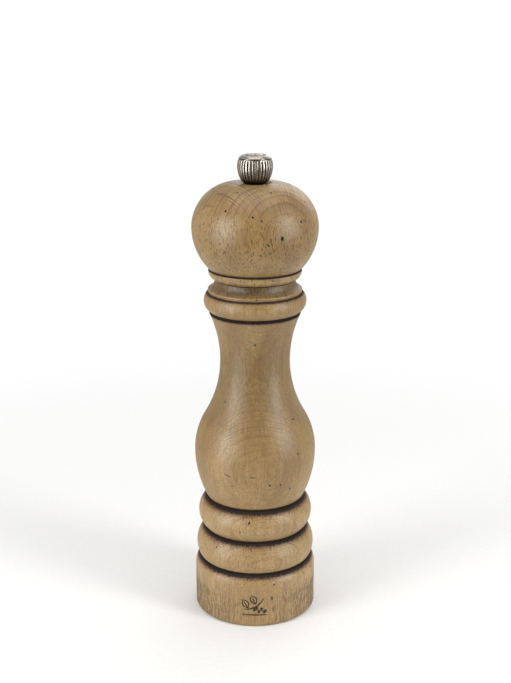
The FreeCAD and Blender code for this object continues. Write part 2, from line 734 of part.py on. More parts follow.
pieces = [
    make_wooden_body(),
    make_housing(),
    screwed_plate("base_plate", "plate_hole", "plate_radius", PLATE_BOTTOM, "plate_pocket_depth",
                  "plate_screw_circle", "plate_screw_count", "wood_screw_radius", "wood_screw_head"),
    make_screws("base_screws", "wood_screw_radius", "wood_screw_head", "wood_screw_length",
                "plate_screw_circle", "plate_screw_count", PLATE_BOTTOM),
    make_ring_burr(),
    make_bridge(),
    make_rivets(),
    make_guide_bush(),
    make_clip(),
    make_shaft(),
    make_burr(),
    make_cone(),
    make_nut(),
    tube("seat_washer", "seat_washer_hole", "seat_washer_radius", "cone_top", CONE_SEAT),
    make_spring(),
    make_wooden_head(),
    make_drive_plate(),
    make_screws("drive_screws", "drive_screw_radius", "drive_screw_head", "drive_screw_length",
                "drive_screw_circle", "drive_screw_count", DRIVE_BOTTOM),
    make_top_bush(),
    tube("knob_washer", "washer_hole", "washer_radius", WASHER_SEAT, f"{WASHER_SEAT} + washer_thick"),
    make_knob_shell(),
    make_insert(),
    make_cap(),
]
doc.recompute()

failed = [item.Name for item in doc.Objects if {"Invalid", "Error"} & set(item.State)]
if failed:
    raise RuntimeError(f"failed objects: {failed}")
for piece in pieces:
    if piece.Shape.isNull() or not piece.Shape.isValid():
        raise RuntimeError(f"bad shape: {piece.Label}")

os.makedirs("parts", exist_ok=True)
for piece in pieces:
    piece.Shape.exportStep(f"parts/{piece.Label}.step")
    box = piece.Shape.BoundBox
    print(f"{piece.Label:15s} {len(piece.Shape.Solids)} solids, {piece.Shape.Volume:9.1f} mm3, "
          f"z {box.ZMin:.2f} to {box.ZMax:.2f}, across {box.XLength:.2f}")
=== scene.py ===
import json
import math
import random

import bmesh
import bpy
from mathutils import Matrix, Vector, kdtree, noise


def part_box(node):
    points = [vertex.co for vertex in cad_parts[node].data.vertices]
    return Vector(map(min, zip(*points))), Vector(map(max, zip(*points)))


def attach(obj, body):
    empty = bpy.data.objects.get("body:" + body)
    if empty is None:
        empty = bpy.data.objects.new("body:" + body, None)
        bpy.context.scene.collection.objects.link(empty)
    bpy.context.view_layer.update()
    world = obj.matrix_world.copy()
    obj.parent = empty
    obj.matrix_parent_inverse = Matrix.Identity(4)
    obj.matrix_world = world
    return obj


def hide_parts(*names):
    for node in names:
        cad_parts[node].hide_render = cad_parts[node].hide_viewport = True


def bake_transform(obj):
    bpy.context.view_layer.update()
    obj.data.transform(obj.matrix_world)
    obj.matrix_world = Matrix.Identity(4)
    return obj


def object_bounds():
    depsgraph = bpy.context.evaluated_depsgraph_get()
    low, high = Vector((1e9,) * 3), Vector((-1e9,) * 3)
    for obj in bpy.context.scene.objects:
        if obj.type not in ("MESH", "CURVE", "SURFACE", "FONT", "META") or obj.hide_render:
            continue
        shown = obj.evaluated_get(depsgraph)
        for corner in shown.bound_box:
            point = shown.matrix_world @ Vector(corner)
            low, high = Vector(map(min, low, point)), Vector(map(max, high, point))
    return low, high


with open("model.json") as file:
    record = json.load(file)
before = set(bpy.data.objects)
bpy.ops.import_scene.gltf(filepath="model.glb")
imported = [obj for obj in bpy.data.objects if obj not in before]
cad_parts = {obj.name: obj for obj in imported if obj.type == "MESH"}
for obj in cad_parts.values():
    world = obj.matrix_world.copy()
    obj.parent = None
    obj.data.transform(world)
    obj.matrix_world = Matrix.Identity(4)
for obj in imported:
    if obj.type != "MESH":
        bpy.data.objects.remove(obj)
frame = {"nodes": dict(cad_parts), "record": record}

CAD_BOX = [list(corner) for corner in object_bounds()]
MM = 0.001
HEIGHT = CAD_BOX[1][2] - CAD_BOX[0][2]
TURN = 2 * math.pi
SEGMENTS = 216          # facets round the body and the head


def limited(level):
    """A number held between 0 and 1."""
    return max(0.0, min(1.0, level))


# ---------------------------------------------------------------- turned outlines, in millimetres

class Outline:
    """A chain of (radius, height) points drawn with lines and arcs, closed back to its start."""

    def __init__(self, radius, height, step=0.6):
        self.points = [(radius, height)]
        self.step = step

    def line(self, radius, height, step=None):
        start = self.points[-1]
        length = math.dist(start, (radius, height))
        count = max(1, math.ceil(length / (step or self.step)))
        across, up = radius - start[0], height - start[1]
        for number in range(1, count + 1):
            share = number / count
            self.points.append((start[0] + share * across, start[1] + share * up))
        return self

    def sweep(self, centre, end, middle, step):
        """Points along the arc about centre from the last point to end, by way of middle."""
        start = self.points[-1]
        first = math.atan2(start[1] - centre[1], start[0] - centre[0])
        span = (math.atan2(end[1] - centre[1], end[0] - centre[0]) - first) % TURN
        way = (math.atan2(middle[1] - centre[1], middle[0] - centre[0]) - first) % TURN
        if way > span:
            span -= TURN
        radius = math.dist(start, centre)
        count = max(3, math.ceil(abs(span) * radius / (step or self.step)))
        for number in range(1, count + 1):
            angle = first + span * number / count
            x, y = radius * math.cos(angle), radius * math.sin(angle)
            self.points.append((centre[0] + x, centre[1] + y))
        self.points[-1] = end
        return self

    def arc(self, middle_radius, middle_height, radius, height, step=None):
        """An arc through a point on the way."""
        a, b, c = self.points[-1], (middle_radius, middle_height), (radius, height)
        area = 2 * (a[0] * (b[1] - c[1]) + b[0] * (c[1] - a[1]) + c[0] * (a[1] - b[1]))
        squares = [point[0] ** 2 + point[1] ** 2 for point in (a, b, c)]
        across = squares[0] * (b[1] - c[1]) + squares[1] * (c[1] - a[1]) + squares[2] * (a[1] - b[1])
        up = squares[0] * (c[0] - b[0]) + squares[1] * (a[0] - c[0]) + squares[2] * (b[0] - a[0])
        return self.sweep((across / area, up / area), c, b, step)

    def upright(self, level, other, end, step):
        """An arc between two points that is upright at the first one named."""
        across = other[0] - level[0]
        bow = math.dist(level, other) ** 2 / (2 * across)
        centre = (level[0] + bow, level[1])
        start = self.points[-1]
        chord = ((start[0] + end[0]) / 2 - centre[0], (start[1] + end[1]) / 2 - centre[1])
        middle = (centre[0] + chord[0], centre[1] + chord[1])
        return self.sweep(centre, end, middle, step)

    def rise(self, radius, height, step=None):
        """An arc that ends upright."""
        return self.upright((radius, height), self.points[-1], (radius, height), step)

    def fall(self, radius, height, step=None):
        """An arc that starts upright."""
        return self.upright(self.points[-1], (radius, height), (radius, height), step)

    def softened(self, size=0.2, sharp=18.0):
        """The points with each sharp corner rounded, as a turner's sandpaper leaves it."""
        soft = []
        total = len(self.points)
        for number, point in enumerate(self.points):
            before, after = self.points[number - 1], self.points[(number + 1) % total]
            if math.dist(before, point) < 1e-6:
                continue
            into = Vector(point) - Vector(before)
            out = Vector(after) - Vector(point)
            if out.length < 1e-6 or math.degrees(into.angle(out)) < sharp:
                soft.append(point)
                continue
            near = min(size, 0.45 * into.length, 0.45 * out.length)
            first = Vector(point) - into.normalized() * near
            last = Vector(point) + out.normalized() * near
            soft.append(tuple(first))
            soft.append(tuple(first * 0.25 + Vector(point) * 0.5 + last * 0.25))
            soft.append(tuple(last))
        return soft


# ---------------------------------------------------------------- mesh work

def linked(name, mesh):
    piece = bpy.data.objects.new(name, mesh)
    bpy.context.scene.collection.objects.link(piece)
    return piece


def polar(radius, angle, height):
    """A vertex in metres, from millimetres and radians."""
    return (radius * math.cos(angle) * MM, radius * math.sin(angle) * MM, height * MM)


def ring_faces(rings, around, closed=False):
    """Four-sided faces between rings of vertices, and from the last to the first if closed."""
    faces = []
    for ring in range(rings if closed else rings - 1):
        low, high = ring * around, ((ring + 1) % rings) * around
        for number in range(around):
            beside = (number + 1) % around
            faces.append((low + number, low + beside, high + beside, high + number))
    return faces


def end_caps(rings, around):
    """One face over each end of an open row of rings."""
    last = (rings - 1) * around
    return [tuple(reversed(range(around))), tuple(range(last, last + around))]


def mesh_of(name, vertices, faces):
    mesh = bpy.data.meshes.new(name)
    mesh.from_pydata(vertices, [], faces)
    mesh.validate()
    return mesh


def turned_mesh(name, points, segments, shape=None):
    """Turn a closed outline about Z.  shape(angle, radius, height) may change the radius and height."""
    vertices = []
    for radius, height in points:
        for number in range(segments):
            angle = TURN * number / segments
            out, up = shape(angle, radius, height) if shape else (radius, height)
            vertices.append(polar(out, angle, up))
    mesh = mesh_of(name, vertices, ring_faces(len(points), segments, closed=True))
    bm = bmesh.new()
    bm.from_mesh(mesh)
    bmesh.ops.recalc_face_normals(bm, faces=bm.faces)
    bm.to_mesh(mesh)
    bm.free()
    return mesh


def smooth(mesh):
    mesh.polygons.foreach_set("use_smooth", [True] * len(mesh.polygons))


def skin_at(points, height):
    """The outermost point of an outline at a height, and the outward normal there."""
    best = None
    for first, last in zip(points, points[1:]):
        if (first[1] - height) * (last[1] - height) > 0 or first[1] == last[1]:
            continue
        share = (height - first[1]) / (last[1] - first[1])
        radius = first[0] + share * (last[0] - first[0])
        if best is None or radius > best[0]:
            along = Vector((last[0] - first[0], last[1] - first[1])).normalized()
            best = (radius, along.y, -along.x)
    return best


class Pit:
    """A worm hole, nick or scratch: an oval dent at an azimuth and height of a turned skin."""

    FAR_SIDE = 2.5      # how far off its skin's plane a place may be, in millimetres
    LIP_END = 1.6       # where the lip ends, with the rim at 1
    LIP_HEIGHT = 0.03

    def __init__(self, points, azimuth, height, across, up, tilt=0.0, depth=0.7):
        radius, out, rise = skin_at(points, height)
        angle = math.radians(azimuth)
        self.centre = Vector((radius * math.cos(angle), radius * math.sin(angle), height))
        self.normal = Vector((out * math.cos(angle), out * math.sin(angle), rise)).normalized()
        side = Vector((-math.sin(angle), math.cos(angle), 0))
        above = self.normal.cross(side)
        lean = math.radians(tilt)
        self.side = side * math.cos(lean) + above * math.sin(lean)
        self.above = above * math.cos(lean) - side * math.sin(lean)
        self.across, self.up, self.depth = across, up, depth

    def reach(self, spot):
        """0 at the centre, 1 at the rim."""
        offset = spot - self.centre
        if abs(offset.dot(self.normal)) > self.FAR_SIDE:
            return math.inf
        return math.hypot(offset.dot(self.side) / self.across, offset.dot(self.above) / self.up)


def nearness(bm):
    """A search tree of a mesh's vertices, in millimetres."""
    bm.verts.ensure_lookup_table()
    tree = kdtree.KDTree(len(bm.verts))
    for index, vertex in enumerate(bm.verts):
        tree.insert(vertex.co / MM, index)
    tree.balance()
    return tree


def dent(mesh, pits):
    """Refine the mesh round each pit and press the pits in.  The mark goes into a vertex attribute."""
    bm = bmesh.new()
    bm.from_mesh(mesh)
    tree = nearness(bm)
    chosen = set()
    for pit in pits:
        wide = 1.4 * max(pit.across, pit.up) + 0.9
        chosen.update(bm.verts[index] for _, index, _ in tree.find_range(pit.centre, wide))
    edges = [edge for edge in bm.edges if edge.verts[0] in chosen and edge.verts[1] in chosen]
    bmesh.ops.subdivide_edges(bm, edges=edges, cuts=3, use_grid_fill=True)
    layer = bm.verts.layers.float.new("pit")
    tree = nearness(bm)
    for pit in pits:
        for place, index, _ in tree.find_range(pit.centre, 2.0 * max(pit.across, pit.up) + 0.6):
            reach = pit.reach(place)
            if reach > Pit.LIP_END:
                continue
            vertex = bm.verts[index]
            if reach < 1:
                vertex.co -= pit.normal * (pit.depth * (1 - reach ** 2) ** 1.5 * MM)
            else:
                lip = math.sin(math.pi * (reach - 1) / (Pit.LIP_END - 1))
                vertex.co += pit.normal * (Pit.LIP_HEIGHT * lip * MM)
            vertex[layer] = max(vertex[layer], limited(1.45 - reach))
    bm.to_mesh(mesh)
    bm.free()


def paint(mesh, name, rule):
    """A float on each vertex, from rule(radius, height, angle) in millimetres and radians."""
    layer = mesh.attributes.new(name, "FLOAT", "POINT")
    values = []
    for vertex in mesh.vertices:
        x, y, z = vertex.co
        values.append(rule(math.hypot(x, y) / MM, z / MM, math.atan2(y, x)))
    layer.data.foreach_set("value", values)


def even(level):
    """A paint rule that is the same everywhere."""
    return lambda radius, height, angle: level


def wavy(angle, radius, height, size, seed):
    """Smooth, repeatable noise round a turned skin."""
    spot = Vector((radius * math.cos(angle), radius * math.sin(angle), height + 97.0 * seed))
    return noise.noise(spot / size)


def hand_turned(angle, radius, height, seed, fine):
    """A skin's radius and height, with the small unevenness that a gouge leaves."""
    coarse = 0.05 * wavy(angle, radius, height, 14.0, seed)
    return radius + coarse + fine * wavy(angle, radius, height, 3.5, seed + 1), height


def mounted(piece, body, slot, material, *nodes):
    """Give a piece its material and the body it rides with, and hide the nodes it stands for. The slot is
    not used.
    """
    piece.data.materials.append(material)
    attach(piece, body)
    if nodes:
        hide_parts(*nodes)


# ---------------------------------------------------------------- material graphs

class Graph:
    """A short way to write a node material.  Inputs are sockets, numbers or colours."""

    def __init__(self, name, **shader):
        self.material = bpy.data.materials.new(name)
        self.material.use_nodes = True
        self.tree = self.material.node_tree
        self.tree.nodes.clear()
        self.shader = self.tree.nodes.new("ShaderNodeBsdfPrincipled")
        self.output = self.tree.nodes.new("ShaderNodeOutputMaterial")
        self.tree.links.new(self.shader.outputs[0], self.output.inputs[0])
        for socket, level in shader.items():
            self.shader.inputs[socket.replace("_", " ")].default_value = level
        place = self.tree.nodes.new("ShaderNodeTexCoord")
        self.place = self.scaled(place.outputs["Object"], (1 / MM, 1 / MM, 1 / MM))

    def feed(self, socket, source):
        if isinstance(source, bpy.types.NodeSocket):
            self.tree.links.new(source, socket)
        elif source is not None:
            socket.default_value = source

    def set(self, name, source):
        self.feed(self.shader.inputs[name], source)

    def math(self, operation, first, second=None, third=None):
        node = self.tree.nodes.new("ShaderNodeMath")
        node.operation = operation
        for socket, source in zip(node.inputs, (first, second, third)):
            self.feed(socket, source)
        return node.outputs[0]

    def vectors(self, operation, first, second):
        node = self.tree.nodes.new("ShaderNodeVectorMath")
        node.operation = operation
        self.feed(node.inputs[0], first)
        self.feed(node.inputs[1], second)
        return node.outputs[0]

    def scaled(self, vector, factors):
        return self.vectors("MULTIPLY", vector, factors)

    def moved(self, vector, shift):
        return self.vectors("ADD", vector, shift)

    def times(self, first, second):
        return self.math("MULTIPLY", first, second)

    def more(self, base, source, factor):
        """The base and a factor times the source."""
        return self.math("MULTIPLY_ADD", source, factor, base)

    def parts(self, vector):
        node = self.tree.nodes.new("ShaderNodeSeparateXYZ")
        self.feed(node.inputs[0], vector)
        return node.outputs

    def joined(self, x, y, z):
        node = self.tree.nodes.new("ShaderNodeCombineXYZ")
        for socket, source in zip(node.inputs, (x, y, z)):
            self.feed(socket, source)
        return node.outputs[0]

    def noise(self, vector, scale=1.0, detail=2.0, roughness=0.5, colour=False):
        node = self.tree.nodes.new("ShaderNodeTexNoise")
        self.feed(node.inputs["Vector"], vector)
        for socket, level in (("Scale", scale), ("Detail", detail), ("Roughness", roughness)):
            node.inputs[socket].default_value = level
        return node.outputs["Color" if colour else "Fac"]

    def cells(self, vector):
        """The distance to the nearest of the points scattered one to a unit cell."""
        node = self.tree.nodes.new("ShaderNodeTexVoronoi")
        self.feed(node.inputs["Vector"], vector)
        node.inputs["Scale"].default_value = 1.0
        return node.outputs["Distance"]

    def ramp(self, source, low, high, start=0.0, end=1.0):
        """A smooth step from start to end as the source goes from low to high."""
        node = self.tree.nodes.new("ShaderNodeMapRange")
        node.interpolation_type = "SMOOTHSTEP"
        for socket, level in zip(node.inputs, (source, low, high, start, end)):
            self.feed(socket, level)
        return node.outputs[0]

    def mix(self, share, first, second):
        node = self.tree.nodes.new("ShaderNodeMix")
        node.data_type = "RGBA"
        self.feed(node.inputs["Factor"], share)
        for number, source in ((6, first), (7, second)):
            if not isinstance(source, bpy.types.NodeSocket):
                source = tuple(source) + (1.0,) * (4 - len(source))
            self.feed(node.inputs[number], source)
        return node.outputs[2]

    def attribute(self, name):
        node = self.tree.nodes.new("ShaderNodeAttribute")
        node.attribute_name = name
        return node.outputs["Fac"]

    def normal(self):
        return self.tree.nodes.new("ShaderNodeNewGeometry").outputs["Normal"]

    def bump(self, height, distance, strength):
        node = self.tree.nodes.new("ShaderNodeBump")
        node.inputs["Strength"].default_value = strength
        node.inputs["Distance"].default_value = distance
        self.feed(node.inputs["Height"], height)
        return node.outputs[0]

    def away(self, x, y):
        """The distance of a flat place from the origin."""
        return self.math("SQRT", self.math("ADD", self.math("POWER", x, 2.0), self.math("POWER", y, 2.0)))


def srgb(red, green, blue):
    """A colour from its 0 to 255 display values."""
    def linear(level):
        level /= 255
        return level / 12.92 if level <= 0.04045 else ((level + 0.055) / 1.055) ** 2.4
    return (linear(red), linear(green), linear(blue), 1.0)


# ---------------------------------------------------------------- beech

TONES = {
    "light wood": srgb(172, 145, 94), "dark wood": srgb(145, 116, 68), "honey": srgb(178, 148, 90),
    # the strip tone is the darker colour of painted facet shading
    "rubbed": srgb(190, 163, 116), "facet_shade_strip": srgb(112, 85, 50), "early wood": srgb(118, 88, 48),
    "late wood": srgb(68, 47, 23), "fibre": srgb(116, 88, 49), "speck": srgb(98, 72, 40),
    "ray line": srgb(84, 59, 31), "fine dash": srgb(90, 64, 34), "bold dash": srgb(70, 43, 15),
    # the smoke tone is the colour of smoke staining and of painted shade
    "dirt": srgb(70, 48, 18), "smoke_and_shade": srgb(58, 42, 20), "singed": srgb(100, 65, 27),
    "charred": srgb(30, 17, 4), "worm hole": srgb(24, 15, 9),
}
RING_WAVE = 7.0         # how far the rings wander, in millimetres


def growth_rings(g, place, pith, ring_width, lean, seed):
    """Wavy rings about a leaning pith: the way round it, the depth, and the early and late wood."""
    x, y, z = g.parts(g.place)
    warp = g.noise(g.scaled(place, (0.03, 0.03, 0.008)), detail=3.0, colour=True)
    warp_x, warp_y, _ = g.parts(warp)
    away_x = g.math("SUBTRACT", g.more(x, warp_x, RING_WAVE), pith[0] + RING_WAVE / 2)
    away_y = g.math("SUBTRACT", g.more(y, warp_y, RING_WAVE), pith[1] + RING_WAVE / 2)
    away_x = g.more(away_x, z, lean[0])
    away_y = g.more(away_y, z, lean[1])
    depth = g.away(away_x, away_y)
    around = g.times(g.math("ARCTAN2", away_y, away_x), math.hypot(*pith))

    uneven = g.noise(g.joined(g.times(depth, 0.22), 3.0 * seed, 0.0), detail=1.0)
    turns = g.math("DIVIDE", g.more(depth, uneven, 3.0), ring_width)
    phase = g.math("FRACT", turns)
    strength = g.noise(g.joined(g.math("FLOOR", turns), 7.0, seed), scale=3.1, detail=0.0)
    late = g.times(g.math("POWER", phase, 5.0), g.ramp(strength, 0.3, 0.7, 0.35, 1.0))
    late = g.times(late, g.ramp(phase, 0.97, 1.0, 1.0, 0.0))
    return around, depth, g.math("POWER", phase, 1.6), late


def ray_dashes(g, place, grain, upward, dashes):
    """Short marks along the grain: bold ones in drifts on upright faces, fine ones all over."""
    bold = g.ramp(g.cells(g.scaled(place, (1.25, 1.25, 0.29))), 0.24, 0.38, 1.0, 0.0)
    drift = g.noise(g.scaled(grain, (0.16, 0.05, 0.07)), detail=2.0)
    bold = g.times(bold, g.ramp(drift, 0.36, 0.6, 0.6 * dashes, dashes))
    bold = g.times(bold, g.ramp(upward, 0.1, 0.7, 1.0, 0.15))
    fine = g.ramp(g.cells(g.scaled(place, (2.2, 2.2, 0.6))), 0.14, 0.38, 1.0, 0.0)
    return bold, fine


def rubbed_dirt(g, place):
    """Scuffs and scratches full of dirt, where the wear attribute says."""
    wear = g.attribute("wear")
    scuff = g.times(g.ramp(g.cells(g.scaled(place, (0.85, 0.85, 0.2))), 0.24, 0.44, 1.0, 0.0), wear)
    scratch = g.noise(g.scaled(place, (2.1, 2.1, 0.3)), detail=3.0, roughness=0.7)
    scratch = g.ramp(g.more(scratch, wear, 0.17), 0.6, 0.72)
    return g.math("MAXIMUM", g.times(scuff, 0.75), g.times(scratch, g.times(wear, 0.8)))


def beech(name, pith, ring_width, lean, seed, dashes, side_lines, gloss):
    """Aged beech: growth rings about a pith, ray dashes, fibres, soot in the grooves, worm holes and
    painted shade.
    dashes is the share of bold ray marks, side_lines the strength of rings on upright faces and
    gloss the least roughness."""
    g = Graph(name, Specular_IOR_Level=0.68)
    place = g.moved(g.place, (0.0, 0.0, 31.0 * seed))
    facing = g.parts(g.normal())[2]
    upward = g.math("MAXIMUM", g.ramp(facing, 0.25, 0.7), g.ramp(facing, -0.98, -0.9, 1.0, 0.0))

    around, depth, early, late = growth_rings(g, place, pith, ring_width, lean, seed)
    z = g.parts(g.place)[2]
    grain = g.joined(around, depth, z)
    sway = g.noise(g.scaled(grain, (0.5, 0.2, 0.3)), detail=1.0)
    grain = g.joined(g.more(around, sway, 0.7), depth, z)
    bold, fine = ray_dashes(g, place, grain, upward, dashes)
    # painted shading: darker vertical strips that stand in for the light and shade bands of the turning
    # facets
    facet_shade_strip = g.noise(g.scaled(place, (0.34, 0.34, 0.003)), detail=3.0, roughness=0.7)
    ray_lines = g.noise(g.scaled(grain, (1.3, 0.04, 0.03)), detail=2.0, roughness=0.6)
    fibre = g.noise(g.scaled(place, (3.4, 3.4, 0.09)), detail=3.0, roughness=0.6)
    speck = g.noise(g.scaled(place, (5.5, 5.5, 1.4)), detail=2.0, roughness=0.7)
    cloud = g.noise(g.scaled(place, (0.055, 0.055, 0.03)), detail=3.0, roughness=0.55)
    stain = g.noise(g.scaled(place, (0.12, 0.12, 0.05)), detail=4.0, roughness=0.6)
    streak = g.noise(g.scaled(place, (1.5, 1.5, 0.22)), detail=4.0, roughness=0.65)
    dirt = rubbed_dirt(g, place)
    # smoke staining and painted shade under the head and round the neck, broken into streaks
    smoke_and_shade_mix = g.times(g.attribute("smoke_and_shade"), g.ramp(streak, 0.3, 0.62, 0.35, 1.0))
    ragged = g.more(g.attribute("soot"), g.math("SUBTRACT", streak, 0.5), 1.1)
    charred = g.ramp(ragged, 0.5, 0.85)

    colour = g.mix(g.ramp(cloud, 0.32, 0.68), TONES["light wood"], TONES["dark wood"])
    layers = (
        ("honey", g.ramp(stain, 0.48, 0.75, 0.0, 0.5)),
        ("rubbed", g.times(g.attribute("pale"), 0.55)),
        # painted shading in vertical facet strips
        ("facet_shade_strip", g.ramp(facet_shade_strip, 0.4, 0.62, 0.0, 0.26)),
        ("early wood", g.times(early, g.ramp(upward, 0.0, 1.0, 0.6 * side_lines, 0.3))),
        ("late wood", g.times(late, g.ramp(upward, 0.0, 0.7, side_lines, 1.0))),
        ("fibre", g.ramp(fibre, 0.42, 0.64, 0.0, 0.5)),
        ("speck", g.ramp(speck, 0.5, 0.66, 0.0, 0.5)),
        ("ray line", g.times(g.ramp(ray_lines, 0.54, 0.63), g.ramp(upward, 0.3, 0.9, 0.06, 0.85))),
        ("fine dash", g.times(fine, 0.55)),
        ("bold dash", g.times(bold, 0.82)),
        ("dirt", dirt),
        # painted shade and smoke staining, from the attribute above
        ("smoke_and_shade", g.times(smoke_and_shade_mix, 0.9)),
        ("singed", g.ramp(ragged, 0.05, 0.6, 0.0, 0.85)),
        ("charred", charred),
        ("worm hole", g.ramp(g.attribute("pit"), 0.1, 0.75, 0.0, 0.97)),
    )
    for tone, share in layers:
        colour = g.mix(share, colour, TONES[tone])
    g.set("Base Color", colour)

    rough = g.ramp(cloud, 0.3, 0.7, gloss, gloss + 0.07)
    for source, factor in ((facet_shade_strip, 0.06), (fibre, 0.08), (charred, 0.5), (dirt, 0.2)):
        rough = g.more(rough, source, factor)
    g.set("Roughness", rough)

    hollow = g.more(g.math("ADD", g.times(bold, 0.7), g.times(fine, 0.3)), dirt, 0.5)
    relief = g.math("SUBTRACT", g.times(fibre, 0.35), hollow)
    relief = g.more(relief, g.times(speck, charred), 1.4)
    g.set("Normal", g.bump(relief, 0.00005, 0.8))
    return g.material


# ---------------------------------------------------------------- metals

def darker(colour, share):
    return [level * share for level in colour[:3]]


def metal(name, bright, dull, roughness, brush=(0.02, 0.02, 3.0), tarnish=0.3, seed=0):
    """Worked metal: brushed lines, tarnish and fine scratches."""
    g = Graph(name, Metallic=1.0)
    place = g.moved(g.place, (11.0 * seed, 0.0, 0.0))
    lines = g.noise(g.scaled(place, brush), detail=4.0, roughness=0.7)
    cloud = g.noise(place, scale=0.35, detail=4.0, roughness=0.6)
    spots = g.noise(place, scale=2.2, detail=3.0, roughness=0.65)
    colour = g.mix(g.ramp(lines, 0.3, 0.7), bright, dull)
    colour = g.mix(g.ramp(cloud, 0.45, 0.8, 0.0, tarnish), colour, darker(dull, 0.35))
    colour = g.mix(g.ramp(spots, 0.62, 0.75, 0.0, tarnish), colour, darker(dull, 0.2))
    g.set("Base Color", colour)
    rough = g.more(roughness - 0.08, lines, 0.16)
    rough = g.more(rough, g.ramp(spots, 0.55, 0.75), 0.15)
    g.set("Roughness", rough)
    g.set("Normal", g.bump(g.more(lines, spots, 0.4), 0.00002, 0.5))
    return g.material


def antique_nickel():
    """The knob's metal: bright rubbed ridges, nearly black recesses and painted shade low on the knob."""
    g = Graph("antique_nickel", Metallic=1.0)
    hollow = g.attribute("hollow")
    cloud = g.noise(g.place, scale=0.9, detail=4.0, roughness=0.65)
    spots = g.noise(g.place, scale=2.4, detail=3.0, roughness=0.6)
    # dark: tarnish in the recesses, and painted shade low on the knob
    dark = g.ramp(g.more(hollow, g.math("SUBTRACT", cloud, 0.5), 0.4), 0.15, 0.75)
    colour = g.mix(dark, srgb(172, 167, 158), srgb(44, 38, 31))
    colour = g.mix(g.ramp(spots, 0.5, 0.75, 0.0, 0.4), colour, srgb(84, 77, 68))
    g.set("Base Color", colour)
    g.set("Roughness", g.more(g.more(0.24, dark, 0.2), cloud, 0.1))
    g.set("Normal", g.bump(g.math("ADD", spots, cloud), 0.00003, 0.22))
    return g.material


def charcoal():
    """Burnt lines of the mark on the base."""
    g = Graph("burnt_mark", Specular_IOR_Level=0.3)
    cloud = g.noise(g.scaled(g.place, (3.0, 3.0, 1.2)), detail=4.0, roughness=0.65)
    colour = g.mix(g.ramp(cloud, 0.35, 0.68), srgb(34, 24, 15), srgb(78, 58, 36))
    g.set("Base Color", colour)
    g.set("Roughness", g.ramp(cloud, 0.3, 0.7, 0.55, 0.75))
    g.set("Normal", g.bump(cloud, 0.00004, 0.6))
    return g.material


# ---------------------------------------------------------------- the wooden body

LOW_GROOVE, MID_GROOVE, HIGH_GROOVE = 26.4, 41.6, 57.3
BEAD_FOOT, BEAD_TOP, FILLET = 148.0, 156.6, 158.4
BODY_TOP = 163.2
GROOVE_HALF, GROOVE_CUT = 0.6, 1.1
HOPPER_RADIUS, CHAMBER_RADIUS, CHAMBER_TOP = 12.0, 16.8, 30.3
PLATE_RADIUS, PLATE_POCKET = 20.4, 3.2
BULB, NECK = (28.7, 80.3), (16.35, 124.7)
SWAY = 0.392            # the share of the way from bulb to neck at which the flank turns
BORE_EDGE, NECK_EDGE, PLATE_EDGE = 17.0, 15.0, 20.5     # radii that part the bores from the skin


def groove(outline, radius, height):
    """A narrow burnt groove, from the outline's last point to the same radius above it."""
    outline.arc(radius - GROOVE_CUT, height, radius, height + GROOVE_HALF, 0.22)


def body_outline():
    line = Outline(PLATE_RADIUS, 0.0)
    line.line(28.2, 0.0, 1.6).line(29.1, 0.9, 0.5).line(29.1, 20.5, 1.1)
    line.fall(27.1, LOW_GROOVE - GROOVE_HALF, 0.5)
    groove(line, 27.1, LOW_GROOVE)
    line.arc(28.3, 33.0, 24.6, MID_GROOVE - GROOVE_HALF, 0.55)
    groove(line, 24.6, MID_GROOVE)
    line.arc(27.2, 48.4, 23.5, HIGH_GROOVE - GROOVE_HALF, 0.55)
    groove(line, 23.5, HIGH_GROOVE)
    line.rise(*BULB, 0.95)
    line.fall(BULB[0] + SWAY * (NECK[0] - BULB[0]), BULB[1] + SWAY * (NECK[1] - BULB[1]), 0.95)
    line.rise(*NECK, 1.0)
    line.fall(21.2, BEAD_FOOT - GROOVE_HALF, 0.7)
    groove(line, 21.2, BEAD_FOOT)
    line.arc(23.7, 152.9, 22.6, BEAD_TOP, 0.4)
    line.line(21.5, 157.25, 0.25).line(21.5, FILLET - 0.5, 0.25)
    line.arc(21.75, FILLET, 21.5, FILLET + 0.5, 0.2)
    line.arc(19.35, 160.5, 18.6, BODY_TOP, 0.4)
    line.line(12.8, BODY_TOP, 1.0).line(HOPPER_RADIUS, BODY_TOP - 0.8, 0.5)
    line.line(HOPPER_RADIUS, CHAMBER_TOP, 9.0).line(CHAMBER_RADIUS, CHAMBER_TOP, 2.5)
    line.line(CHAMBER_RADIUS, PLATE_POCKET, 7.0).line(PLATE_RADIUS, PLATE_POCKET, 2.0)
    return line.softened()


def burn(height, middle, below, above, half=GROOVE_HALF):
    """How burnt a height is by a groove: 1 in it and just under it, then fading to 0.
    middle is the groove's height, half its half width, below and above the lengths of the fades."""
    if height > middle:
        return limited(1.0 - (height - middle - half) / above)
    return limited(1.15 - 1.15 * (middle - half - height) / below)


def body_soot(radius, height, angle):
    if radius < BORE_EDGE:
        return 0.0
    return max(
        burn(height, LOW_GROOVE, 2.7, 0.6), burn(height, MID_GROOVE, 2.5, 0.5),
        burn(height, HIGH_GROOVE, 2.7, 0.5), burn(height, BEAD_FOOT, 1.7, 0.5, 0.4),
        0.9 * burn(height, BEAD_TOP + 0.5, 0.8, 0.5, 0.15),
    )


def body_pale(radius, height, angle):
    """Lighter, rubbed wood on the rings, the base and the bead."""
    if radius < BORE_EDGE:
        return 0.0
    low = limited((63.0 - height) / 6.0)
    bead = max(0.0, 1.0 - abs(height - 153.0) / 4.0)
    lip = max(0.0, 1.0 - abs(height - FILLET) / 0.9)
    return max(0.85 * low, 0.8 * bead, lip)


